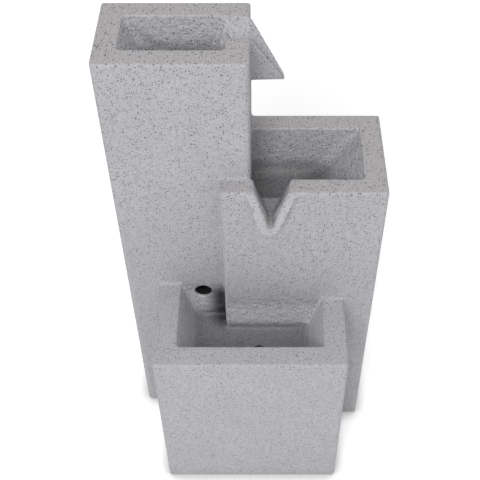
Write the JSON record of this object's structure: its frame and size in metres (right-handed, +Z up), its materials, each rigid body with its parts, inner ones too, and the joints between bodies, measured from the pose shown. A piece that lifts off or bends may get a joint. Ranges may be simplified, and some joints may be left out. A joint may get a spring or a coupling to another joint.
{
  "type": "indoor fountain",
  "caption": "Free-standing indoor fountain of merged square pots that spill through beaked spouts into a low front basin, with a pump in the tall pot.",
  "frame": {"origin": "middle of the footprint at floor level", "axes": "+Z up, -Y out of the front basin, +X to the middle pot's side"},
  "size_m": [0.4, 0.3, 0.8],
  "materials": {
    "granite_resin": "granite-speckled cast resin, satin",
    "black_plastic": "moulded, matte",
    "dial_plastic": "moulded, gloss",
    "impeller_plastic": "moulded, matte",
    "rubber": "moulded, matte",
    "sponge": "open-cell foam",
    "magnet": "sintered ferrite, matte",
    "shaft_ceramic": "polished",
    "steel": "stainless, satin",
    "brass": "turned",
    "hose_vinyl": "flexible clear vinyl"
  },
  "bodies": {
    "fountain": {"tall_column": "granite_resin", "middle_column": "granite_resin", "front_basin": "granite_resin", "upper_spout": "granite_resin", "lower_spout": "granite_resin", "seam_fillets": "granite_resin", "tall_base_plate": "black_plastic", "middle_base_plate": "black_plastic", "basin_base_plate": "black_plastic", "foot_pads": "rubber", "door_inserts": "brass", "cord_grommet": "rubber", "reservoir_tub": "black_plastic", "pump_housing": "black_plastic", "suction_cups": "rubber", "pump_cover": "black_plastic", "pump_shaft": "shaft_ceramic", "shaft_bushes": "rubber", "outlet_adapter": "black_plastic", "riser_hose": "hose_vinyl", "hose_clamps": "steel", "inlet_fitting": "black_plastic", "inlet_seal": "rubber", "inlet_nut": "black_plastic", "return_elbow": "black_plastic", "drain_pipe": "black_plastic"},
    "rotor": {"impeller": "impeller_plastic", "rotor_magnet": "magnet"},
    "dial": {"flow_dial": "dial_plastic"},
    "door": {"service_door": "granite_resin", "door_seal": "rubber", "door_screws": "steel"},
    "plug": {"drain_plug": "rubber"},
    "cage": {"strainer_cage": "black_plastic", "filter_sponge": "sponge"}
  },
  "joints": [
    {"name": "rotor_spin", "type": "hinge", "parent": "fountain", "child": "rotor", "pos_m": [-0.098, 0.0685, 0.0375], "axis": [1, 0, 0], "continuous": true},
    {"name": "dial_turn", "type": "hinge", "parent": "fountain", "child": "dial", "pos_m": [-0.085, 0.0685, 0.0375], "axis": [1, 0, 0], "range_deg": [0, 90]},
    {"name": "door_off", "type": "slide", "parent": "fountain", "child": "door", "axis": [0, 1, 0], "range_m": [0, 0.12]},
    {"name": "plug_lift", "type": "slide", "parent": "fountain", "child": "plug", "axis": [0, 0, 1], "range_m": [0, 0.06]},
    {"name": "cage_off", "type": "slide", "parent": "fountain", "child": "cage", "axis": [1, 0, 0], "range_m": [0, 0.026]}
  ]
}
